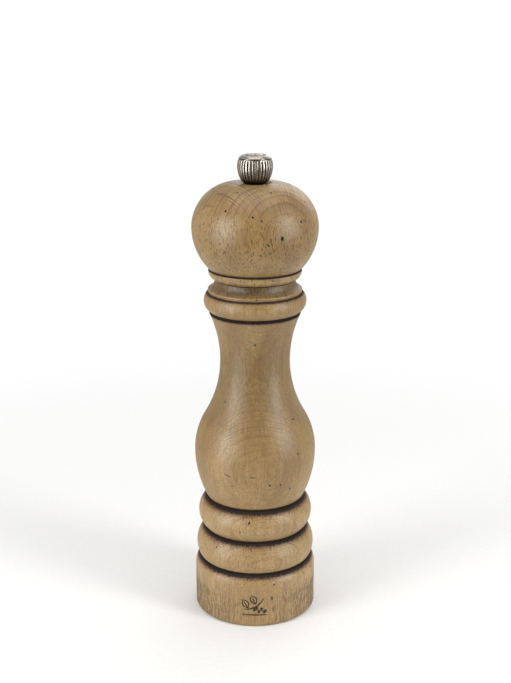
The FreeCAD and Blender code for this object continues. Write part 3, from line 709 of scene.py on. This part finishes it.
def body_smoke_and_shade(radius, height, angle):
    """Darker wood, partly smoke staining and partly painted shade: in the cove under the head's overhang
    and round the neck.
    """
    if radius < NECK_EDGE:
        return 0.0
    if height < BEAD_FOOT:
        return 0.46 * math.exp(-((height - 117.0) / 21.0) ** 2)
    cove = limited((height - 159.0) / 1.4)
    return cove * (0.95 + 0.2 * math.sin(3 * angle + 1.0))


def body_wear(radius, height, angle):
    """Rubbed dirt low on the base, most of it away from the front."""
    if radius < PLATE_EDGE:
        return 0.0
    low = limited((21.0 - height) / 7.0)
    facing = abs(math.sin((angle + math.pi / 2) / 2))
    return low * (0.3 + 0.7 * min(1.0, 1.9 * facing))


# azimuth (-90 is the front), height, half width, half height, tilt, depth, in degrees and millimetres
BODY_PITS = (
    (-90, 136.4, 0.35, 0.5, 0, 0.8), (-32, 138.9, 0.3, 0.4, 0, 0.5), (-136, 107.8, 0.35, 0.5, 10, 0.6),
    (-39, 99.7, 0.5, 0.5, 0, 0.8), (-156, 84.1, 0.4, 0.55, 0, 0.7), (-46, 84.9, 0.4, 0.45, 0, 0.6),
    (-76, 71.9, 0.5, 0.5, 0, 0.9), (-65, 71.5, 0.45, 0.45, 0, 0.8), (-54, 68.3, 0.35, 0.55, -15, 0.5),
    (-116, 76.1, 2.1, 0.22, -10, 0.35), (-92, 76.4, 1.3, 0.22, -6, 0.3), (-112, 71.1, 0.8, 0.22, -12, 0.3),
    (-88, 158.3, 0.45, 0.3, 20, 0.5), (-96, 52.6, 0.4, 0.8, -25, 0.6), (-105, 48.1, 0.35, 0.35, 0, 0.5),
    (-157, 32.2, 0.4, 0.9, 15, 0.6), (-132, 37.4, 0.25, 0.9, -10, 0.5), (-22, 22.5, 0.4, 0.8, 20, 0.6),
    (-37, 22.4, 0.3, 0.5, 0, 0.5), (-72, 21.5, 0.35, 0.6, 0, 0.7), (-74, 14.6, 0.35, 1.1, 5, 0.6),
    (-73, 9.0, 0.25, 1.6, 0, 0.4), (-128, 25.0, 0.6, 0.4, 0, 0.5),
)


def scattered(points, low, high, count, seed, keep_off):
    """More worm holes over the sides and back, the same ones on every run."""
    draw = random.Random(seed)
    pits = []
    while len(pits) < count:
        azimuth = draw.uniform(-20, 200)
        height = draw.uniform(low, high)
        if any(abs(height - place) < 2.0 for place in keep_off):
            continue
        across = draw.uniform(0.25, 0.5)
        pits.append(Pit(points, azimuth, height, across, across * draw.uniform(1.0, 2.0),
                        draw.uniform(-20, 20), draw.uniform(0.5, 0.9)))
    return pits


def make_body(material):
    points = body_outline()

    def shape(angle, radius, height):
        in_pocket = radius < PLATE_RADIUS + 0.6 and height < PLATE_POCKET + 0.8
        if radius < BORE_EDGE or in_pocket:
            return radius, height
        return hand_turned(angle, radius, height, 1, 0.02)

    mesh = turned_mesh("wooden_body_turning", points, SEGMENTS, shape)
    pits = [Pit(points, *facts) for facts in BODY_PITS]
    pits += scattered(points, 6, 150, 26, 5, (LOW_GROOVE, MID_GROOVE, HIGH_GROOVE, BEAD_FOOT))
    dent(mesh, pits)
    paint(mesh, "soot", body_soot)
    # painted shade under the head and round the neck, with smoke staining
    paint(mesh, "smoke_and_shade", body_smoke_and_shade)
    paint(mesh, "wear", body_wear)
    paint(mesh, "pale", body_pale)
    smooth(mesh)
    mounted(linked("turned_body", mesh), "mill_body", "body_beech", material, "wooden_body")


# ---------------------------------------------------------------- the wooden head

HEAD_FOOT, COLLAR, COLLAR_GROOVE, BALL_FOOT = 163.5, 167.6, 168.0, 168.4
TENON_FOOT, TENON_RADIUS, BUSH_RADIUS, BUSH_TOP = 152.5, 11.7, 4.5, 205.3
BALL_TOP, CROWN_EDGE = 200.0, 6.0       # where the crown begins, and the radius of its hole's edge
HEAD_PITS = (
    (-120, 198.2, 0.5, 0.5, 0, 0.9), (-115, 205.2, 0.5, 0.4, 0, 0.8), (-67, 205.2, 0.5, 0.4, 0, 0.8),
    (-92, 196.3, 0.45, 0.45, 0, 0.8), (-84, 194.7, 0.4, 0.6, 20, 0.6), (-44, 193.0, 0.5, 0.7, 15, 0.9),
    (-66, 186.8, 0.55, 1.15, 8, 1.1), (-24, 200.0, 0.4, 0.6, 20, 0.7), (-171, 204.7, 0.6, 0.4, 0, 0.7),
    (-35, 206.9, 0.4, 0.4, 0, 0.6), (-79, 184.4, 1.0, 0.4, -30, 0.3), (170, 206.6, 0.4, 0.4, 0, 0.6),
)


def head_outline():
    line = Outline(BUSH_RADIUS, TENON_FOOT)
    line.line(TENON_RADIUS, TENON_FOOT, 1.2).line(TENON_RADIUS, HEAD_FOOT, 1.4)
    line.line(19.0, HEAD_FOOT, 1.0).arc(20.85, 165.2, 21.5, COLLAR, 0.35)
    line.line(20.75, COLLAR_GROOVE, 0.25).line(21.25, BALL_FOOT, 0.25)
    line.rise(28.88, 187.24, 0.55)
    line.fall(25.76, 197.8, 0.55)
    line.arc(21.6, 202.75, 7.7, 207.25, 0.55)
    line.line(5.8, 206.4, 0.4).line(5.8, BUSH_TOP, 0.6)
    line.line(BUSH_RADIUS, BUSH_TOP, 0.6).line(BUSH_RADIUS, TENON_FOOT, 6.0)
    return line.softened()


def head_soot(radius, height, angle):
    if radius < TENON_RADIUS + 0.3:
        return 0.0
    foot = 0.8 * burn(height, HEAD_FOOT - 0.2, 0.5, 0.4, 0.3)
    return max(burn(height, COLLAR_GROOVE, 0.3, 0.9, 0.25), foot)


def head_pale(radius, height, angle):
    """Lighter wood on the collar."""
    return max(0.0, 1.0 - abs(height - 165.6) / 2.4) if radius > 17 else 0.0


def head_painted_shade(radius, height, angle):
    """Painted shade: the knob's contact shadow on the crown round its foot, and painted shade on the
    tenon, which sits inside the body.
    """
    if height < HEAD_FOOT:
        return 0.25
    return 0.3 * max(0.0, 1.0 - abs(radius - 4.0) / 5.0) if height > 205 else 0.0


def make_head(material):
    points = head_outline()

    def shape(angle, radius, height):
        on_tenon = radius < TENON_RADIUS + 1.3 and height < BALL_TOP
        if on_tenon or radius < CROWN_EDGE:
            return radius, height
        return hand_turned(angle, radius, height, 3, 0.015)

    mesh = turned_mesh("wooden_head_turning", points, SEGMENTS, shape)
    pits = [Pit(points, *facts) for facts in HEAD_PITS]
    pits += scattered(points, 172, 205, 11, 9, (COLLAR_GROOVE,))
    dent(mesh, pits)
    paint(mesh, "soot", head_soot)
    # painted shade: the knob's contact shadow on the crown, and a darker tenon
    paint(mesh, "smoke_and_shade", head_painted_shade)
    paint(mesh, "wear", even(0.0))
    paint(mesh, "pale", head_pale)
    smooth(mesh)
    mounted(linked("turned_head", mesh), "head", "head_beech", material, "wooden_head")


# ---------------------------------------------------------------- the knob

FLUTES, FACETS_A_FLUTE, FLUTE_DEPTH, FLUTE_SHARPNESS = 30, 14, 0.42, 1.7
KNOB_FOOT, KNOB_WAIST, KNOB_SHOULDER, KNOB_RIM = 206.6, 214.6, 218.0, 219.5
FLUTE_TOP, FLUTE_FADE = 217.7, 0.5
INSERT_RADIUS, SCREW_RADIUS = 3.3, 1.0


def flute_cut(angle, height):
    """The share of a flute's full depth: rounded ridges with narrow valleys between them."""
    fade = limited((FLUTE_TOP - height) / FLUTE_FADE)
    fade *= limited((height - KNOB_FOOT + 0.3) / 1.2)
    return fade * (1 - abs(math.cos(FLUTES * angle / 2))) ** FLUTE_SHARPNESS


def knob_shape(angle, radius, height):
    if radius < INSERT_RADIUS + 0.3:
        return radius, height
    return radius - FLUTE_DEPTH * flute_cut(angle, height), height


def knob_tarnish_and_shade(radius, height, angle):
    """Tarnish in the flutes and in the seam under the rim, and painted shade towards the foot, on the
    knob's lower side.
    """
    # painted shade: darker towards the foot, on the knob's downward-facing lower side
    low = max(0.0, 1 - (height - KNOB_FOOT) / 5.5)
    seam = max(0.0, 1 - abs(height - KNOB_SHOULDER) / 0.3)
    return max(1.7 * flute_cut(angle, height), 0.8 * low, seam)


def make_knob(material):
    line = Outline(INSERT_RADIUS, KNOB_FOOT, 0.25)
    line.line(4.2, KNOB_FOOT).arc(5.5, 207.45, 6.6, 208.8).rise(8.05, KNOB_WAIST)
    line.fall(7.3, KNOB_SHOULDER)
    line.line(7.1, KNOB_SHOULDER + 0.12, 0.1).line(7.15, KNOB_SHOULDER + 0.28, 0.1)
    line.arc(6.6, 219.0, 5.4, KNOB_RIM)
    line.line(SCREW_RADIUS, KNOB_RIM, 1.0).line(SCREW_RADIUS, KNOB_SHOULDER)
    line.line(INSERT_RADIUS, KNOB_SHOULDER, 0.8).line(INSERT_RADIUS, KNOB_FOOT, 2.0)
    mesh = turned_mesh("fluted_shell", line.softened(0.12), FLUTES * FACETS_A_FLUTE, knob_shape)
    # tarnish in the flutes and the seam, and painted shade towards the foot
    paint(mesh, "hollow", knob_tarnish_and_shade)
    smooth(mesh)
    mounted(linked("fluted_knob", mesh), "knob", "knob_metal", material, "knob_shell")


CAP_RADIUS, CAP_LIP, CAP_SINK = 5.1, 4.8, 0.2     # the face lies CAP_SINK lower inside the lip
BOSS_RADIUS, PETAL_END, PETALS = 1.0, 4.3, 8


def petal_height(angle, radius):
    """Relief of the cap: plain petals between a rim and a boss."""
    if radius < BOSS_RADIUS:
        return 0.12 * math.sqrt(1 - radius ** 2)
    if radius > PETAL_END:
        return 0.0
    petal = abs(math.sin(PETALS / 2 * angle)) ** 0.6
    return 0.2 * petal * math.sin(math.pi * (radius - BOSS_RADIUS) / (PETAL_END - BOSS_RADIUS))


def cap_shape(angle, radius, height):
    if height < KNOB_RIM + 0.05 or radius > CAP_LIP:
        return radius, height
    sink = CAP_SINK * min(1.0, (CAP_LIP - radius) / 0.6)
    return radius, height + petal_height(angle, radius) - sink


def cap_hollow(radius, height, angle):
    if radius < 4.5:
        return 0.75 - 3.4 * petal_height(angle, radius)
    return max(0.1, 0.9 - abs(radius - CAP_LIP) * 4)


def make_cap(material):
    line = Outline(0.02, KNOB_RIM, 0.16)
    line.line(CAP_RADIUS, KNOB_RIM, 1.2).line(CAP_RADIUS, KNOB_RIM + 0.1).arc(2.6, 219.9, 0.02, 220.0)
    mesh = turned_mesh("cap_disc", line.softened(0.12), 240, cap_shape)
    paint(mesh, "hollow", cap_hollow)
    smooth(mesh)
    mounted(linked("knob_disc", mesh), "knob", "knob_metal", material, "knob_cap")


def make_washer(material):
    low, high = (corner.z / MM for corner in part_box("knob_washer"))
    bore, radius = 2.8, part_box("knob_washer")[1].x / MM
    line = Outline(bore, low, 0.2).line(radius, low).line(radius, high).line(bore, high).line(bore, low)
    mesh = turned_mesh("washer_ring", line.softened(0.12), 160)
    paint(mesh, "hollow", even(0.9))
    smooth(mesh)
    mounted(linked("rubbed_washer", mesh), "washer", "knob_metal", material, "knob_washer")


# ---------------------------------------------------------------- the shaft and its spring

SHAFT_SIDES = 48
SQUARE_LOW, SQUARE_HIGH, SHAFT_CORNER = 3.6, 196.0, 0.35
ROUND_RADIUS = 2.4      # the round parts just above and below the square
THREAD_LOW, THREAD_RADIUS, THREAD_PITCH, THREAD_CUT = 203.0, 2.5, 0.8, 0.42


def square_bar(half):
    """A rule for the radius of a square bar with rounded edges."""
    def radius(angle, height):
        flat = half / max(abs(math.cos(angle)), abs(math.sin(angle)))
        diagonal = (half - SHAFT_CORNER) * math.sqrt(2) + SHAFT_CORNER
        off_corner = abs(abs(angle) % (math.pi / 2) - math.pi / 4)
        return min(flat, diagonal / max(0.2, math.cos(off_corner)))
    return radius


def round_bar(level):
    return lambda angle, height: level


def thread(angle, height):
    """The radius of a pointed thread."""
    phase = (height / THREAD_PITCH - angle / TURN) % 1.0
    return THREAD_RADIUS - THREAD_CUT * abs(2 * phase - 1)


def spread(low, high, count):
    """Heights from low to high in equal steps."""
    return [low + (high - low) * step / count for step in range(count + 1)]


def make_shaft(material):
    """A square bar with rounded edges, a round threaded top and a riveted tail."""
    low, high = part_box("drive_shaft")
    bottom, top = low.z / MM, high.z / MM
    square, neck = square_bar(high.x / MM), round_bar(ROUND_RADIUS)
    thread_high = top - 0.6
    thread_steps = round((thread_high - THREAD_LOW) / THREAD_PITCH * 8)
    rings = [(bottom, round_bar(0.02)), (bottom, round_bar(1.6)), (bottom + 0.3, round_bar(2.2))]
    rings += [(SQUARE_LOW, neck)]
    rings += [(height, square) for height in spread(SQUARE_LOW, SQUARE_HIGH, 24)]
    rings += [(SQUARE_HIGH + 0.2, neck), (THREAD_LOW - 0.4, neck)]
    rings += [(height, thread) for height in spread(THREAD_LOW, thread_high, thread_steps)]
    rings += [(top - 0.3, round_bar(2.0)), (top, round_bar(1.7)), (top, round_bar(0.02))]
    vertices = []
    for height, radius in rings:
        for number in range(SHAFT_SIDES):
            angle = TURN * number / SHAFT_SIDES
            vertices.append(polar(radius(angle, height), angle, height))
    faces = ring_faces(len(rings), SHAFT_SIDES) + end_caps(len(rings), SHAFT_SIDES)
    piece = linked("threaded_shaft", mesh_of("threaded_bar", vertices, faces))
    mounted(piece, "shaft", "bright_steel", material, "drive_shaft")


def make_spring(material):
    """The coil round the shaft.  Its foot stands on the shaft's seat and its top stays at the guide."""
    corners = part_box("spring")
    low, high = corners[0].z / MM, corners[1].z / MM
    wire, turns, steps_a_turn, sides = 0.5, 4, 72, 14
    radius = corners[1].x / MM - wire
    steps = turns * steps_a_turn
    vertices = []
    for step, middle in enumerate(spread(low + wire, high - wire, steps)):
        angle = TURN * step / steps_a_turn
        for side in range(sides):
            roll = -TURN * side / sides
            out = radius + wire * math.cos(roll)
            vertices.append(polar(out, angle, middle + wire * math.sin(roll)))
    faces = ring_faces(steps + 1, sides) + end_caps(steps + 1, sides)
    mesh = mesh_of("spring_coil", vertices, faces)
    smooth(mesh)
    mesh.materials.append(material)
    piece = linked("coil_spring", mesh)
    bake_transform(piece)
    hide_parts("spring")


# ---------------------------------------------------------------- the generic burnt mark

MARK_RADIUS, MARK_HEIGHT, MARK_SHIFT = 29.13, 11.6, -0.3
RIDGE = 0.03            # how proud a line's middle stands
CORN_RADIUS, CORN_SIDES = 0.72, 20


def on_base(across, up, proud=0.0):
    """A point of the mark, laid on the base's round side at the front."""
    angle = -math.pi / 2 + (across + MARK_SHIFT) / MARK_RADIUS
    return polar(MARK_RADIUS + proud, angle, MARK_HEIGHT + up)


def ribbon(bm, path, width):
    """A raised line of a given width that tapers at both ends."""
    total = len(path)
    rows = []
    for number, spot in enumerate(path):
        before, after = Vector(path[max(0, number - 1)]), Vector(path[min(total - 1, number + 1)])
        along = (after - before).normalized()
        side = Vector((-along.y, along.x))
        share = number / (total - 1)
        half = width / 2 * (0.35 + 0.65 * limited(math.sin(math.pi * share)) ** 0.5)
        left, right = Vector(spot) + side * half, Vector(spot) - side * half
        row = (on_base(*left), on_base(*spot, RIDGE), on_base(*right))
        rows.append([bm.verts.new(vertex) for vertex in row])
    for first, last in zip(rows, rows[1:]):
        bm.faces.new((first[0], first[1], last[1], last[0]))
        bm.faces.new((first[1], first[2], last[2], last[1]))


def corn(bm, across, up):
    """A small round peppercorn, drawn as a domed disc."""
    centre = bm.verts.new(on_base(across, up, 0.05))
    inner, outer = [], []
    for number in range(CORN_SIDES):
        angle = TURN * number / CORN_SIDES
        x, y = CORN_RADIUS * math.cos(angle), CORN_RADIUS * math.sin(angle)
        inner.append(bm.verts.new(on_base(across + 0.6 * x, up + 0.6 * y, 0.04)))
        outer.append(bm.verts.new(on_base(across + x, up + y)))
    for number in range(CORN_SIDES):
        beside = (number + 1) % CORN_SIDES
        bm.faces.new((centre, inner[number], inner[beside]))
        bm.faces.new((inner[number], outer[number], outer[beside], inner[beside]))


def bow(start, end, bulge, count=14):
    """Points along a gentle curve between two places."""
    first, last = Vector(start), Vector(end)
    along = last - first
    side = Vector((-along.y, along.x)) * bulge
    return [tuple(first + along * (step / count) + side * math.sin(math.pi * step / count))
            for step in range(count + 1)]


def make_mark(material):
    """A peppercorn sprig over a short line."""
    bm = bmesh.new()
    ribbon(bm, bow((-5.2, -2.4), (4.4, 3.4), -0.16), 0.8)
    leaves = (((-3.0, -1.6), (-5.6, 2.6), (-5.0, 1.7)), ((0.6, 0.4), (-1.4, 5.0), (-0.9, 4.0)))
    for foot, tip, vein_end in leaves:
        for start, end, bulge in ((foot, tip, 0.28), (tip, foot, 0.3), (foot, vein_end, 0.02)):
            ribbon(bm, bow(start, end, bulge), 0.62)
    stem = bow((-1.0, -0.9), (4.6, -2.9), -0.12, 10)
    ribbon(bm, stem, 0.5)
    for number, (across, up) in enumerate(stem[2::2]):
        corn(bm, across, up + (0.9 if number % 2 else -0.9))
    corn(bm, 5.2, -3.2)
    ribbon(bm, bow((-6.0, -5.2), (6.0, -5.2), 0.0), 0.75)
    bmesh.ops.recalc_face_normals(bm, faces=bm.faces)
    mesh = bpy.data.meshes.new("sprig_lines")
    bm.to_mesh(mesh)
    bm.free()
    smooth(mesh)
    mounted(linked("burnt_sprig", mesh), "mill_body", "body_beech", material)


# ---------------------------------------------------------------- build

body_wood = beech("beech_body", pith=(-6.0, 58.0), ring_width=0.85, lean=(0.02, 0.012), seed=1,
                  dashes=0.15, side_lines=0.26, gloss=0.35)
head_wood = beech("beech_head", pith=(34.0, -62.0), ring_width=2.9, lean=(0.03, -0.02), seed=2,
                  dashes=1.0, side_lines=0.06, gloss=0.3)
nickel = antique_nickel()
steel = metal("bright_steel", srgb(206, 205, 200), srgb(168, 168, 165), 0.28, seed=1)
plated = metal("plated_steel", srgb(186, 188, 190), srgb(142, 145, 148), 0.4, (0.3, 0.3, 0.3), 0.35, 2)
brass = metal("turned_brass", srgb(214, 176, 104), srgb(176, 138, 74), 0.3, (0.4, 0.4, 2.4), 0.4, 3)
hard = metal("hardened_steel", srgb(104, 102, 100), srgb(66, 64, 63), 0.36, (0.6, 0.6, 1.4), 0.4, 4)
wire = metal("spring_steel", srgb(150, 150, 152), srgb(104, 104, 108), 0.3, (1.0, 1.0, 1.0), 0.3, 5)

make_body(body_wood)
make_head(head_wood)
make_knob(nickel)
make_cap(nickel)
make_washer(nickel)
make_shaft(steel)
make_spring(wire)
make_mark(charcoal())

FINISHES = {"knob_metal": nickel, "brass": brass, "zinc_steel": plated, "bright_steel": steel,
            "spring_steel": wire, "burr_steel": hard}
for part in frame["record"]["subparts"]:
    finish = FINISHES.get(part["material_slot"])
    if finish:
        node = frame["nodes"][part["node"]]
        node.data.materials.clear()
        node.data.materials.append(finish)


# ---------------------------------------------------------------- floor, light and camera

def make_floor():
    """A pale disc that fades into the background."""
    bm = bmesh.new()
    bmesh.ops.create_circle(bm, cap_ends=True, segments=128, radius=1.2)
    mesh = bpy.data.meshes.new("floor_disc")
    bm.to_mesh(mesh)
    bm.free()
    floor = linked("floor", mesh)
    g = Graph("white_ground", Roughness=0.75, Specular_IOR_Level=0.2)
    grain = g.noise(g.place, scale=0.4, detail=3.0)
    g.set("Base Color", g.mix(g.ramp(grain, 0.3, 0.7), (0.82, 0.835, 0.855), (0.84, 0.855, 0.875)))
    x, y, _ = g.parts(g.place)
    clear = g.tree.nodes.new("ShaderNodeBsdfTransparent")
    blend = g.tree.nodes.new("ShaderNodeMixShader")
    g.feed(blend.inputs[0], g.ramp(g.away(x, y), 120.0, 420.0))
    g.feed(blend.inputs[1], g.shader.outputs[0])
    g.feed(blend.inputs[2], clear.outputs[0])
    g.feed(g.output.inputs[0], blend.outputs[0])
    mesh.materials.append(g.material)


LAMP_COLOUR = (1, 0.975, 0.935)


def softbox(name, azimuth, elevation, distance, size, power):
    """A soft rectangular light that looks at the mill's middle.  Azimuth 0 is over the camera."""
    data = bpy.data.lights.new(name, "AREA")
    data.shape = "RECTANGLE"
    data.size, data.size_y = size
    data.energy = power
    data.color = LAMP_COLOUR
    lamp = bpy.data.objects.new(name, data)
    bpy.context.scene.collection.objects.link(lamp)
    aim = Vector((0, 0, HEIGHT * 0.55))
    turn, lift = math.radians(azimuth), math.radians(elevation)
    away = Vector((math.sin(turn) * math.cos(lift), -math.cos(turn) * math.cos(lift), math.sin(lift)))
    lamp.location = aim + away * distance
    lamp.rotation_euler = away.to_track_quat("Z", "Y").to_euler()


def make_world():
    """White where the camera sees it, and elsewhere a fill that is brighter behind the mill."""
    world = bpy.data.worlds.new("studio")
    bpy.context.scene.world = world
    world.use_nodes = True
    tree = world.node_tree
    tree.nodes.clear()
    out = tree.nodes.new("ShaderNodeOutputWorld")
    seen = tree.nodes.new("ShaderNodeBackground")
    seen.inputs[0].default_value = (1, 1, 1, 1)
    seen.inputs[1].default_value = 1.0
    fill = tree.nodes.new("ShaderNodeBackground")
    fill.inputs[0].default_value = (1.0, 0.99, 0.97, 1)
    way = tree.nodes.new("ShaderNodeTexCoord")
    split = tree.nodes.new("ShaderNodeSeparateXYZ")
    depth = tree.nodes.new("ShaderNodeMapRange")
    tree.links.new(way.outputs["Generated"], split.inputs[0])
    tree.links.new(split.outputs[1], depth.inputs[0])
    for socket, level in zip(depth.inputs[1:], (-1.0, 0.6, 0.08, 0.6)):
        socket.default_value = level
    tree.links.new(depth.outputs[0], fill.inputs[1])
    path = tree.nodes.new("ShaderNodeLightPath")
    blend = tree.nodes.new("ShaderNodeMixShader")
    tree.links.new(path.outputs["Is Camera Ray"], blend.inputs[0])
    tree.links.new(fill.outputs[0], blend.inputs[1])
    tree.links.new(seen.outputs[0], blend.inputs[2])
    tree.links.new(blend.outputs[0], out.inputs[0])


def make_lights():
    softbox("left_box", -57, 10, 0.8, (0.36, 0.8), 6.4)
    softbox("right_box", 60, 16, 0.8, (0.24, 0.7), 5.0)
    softbox("top_box", 0, 84, 0.9, (0.9, 0.9), 4.2)
    softbox("back_box", 160, 25, 1.0, (0.8, 0.6), 2.0)


def make_camera():
    """The camera stands a little above the mill and looks down at it."""
    data = bpy.data.cameras.new("camera")
    data.sensor_width = 36.0
    data.lens = 60.18
    camera = bpy.data.objects.new("camera", data)
    bpy.context.scene.collection.objects.link(camera)
    camera.location = (0.0002, -0.5100, 0.2857)
    camera.rotation_euler = (math.radians(90 - 16.68), 0, 0)
    bpy.context.scene.camera = camera


make_floor()
make_world()
make_lights()
make_camera()
bpy.context.scene.view_settings.view_transform = "Standard"
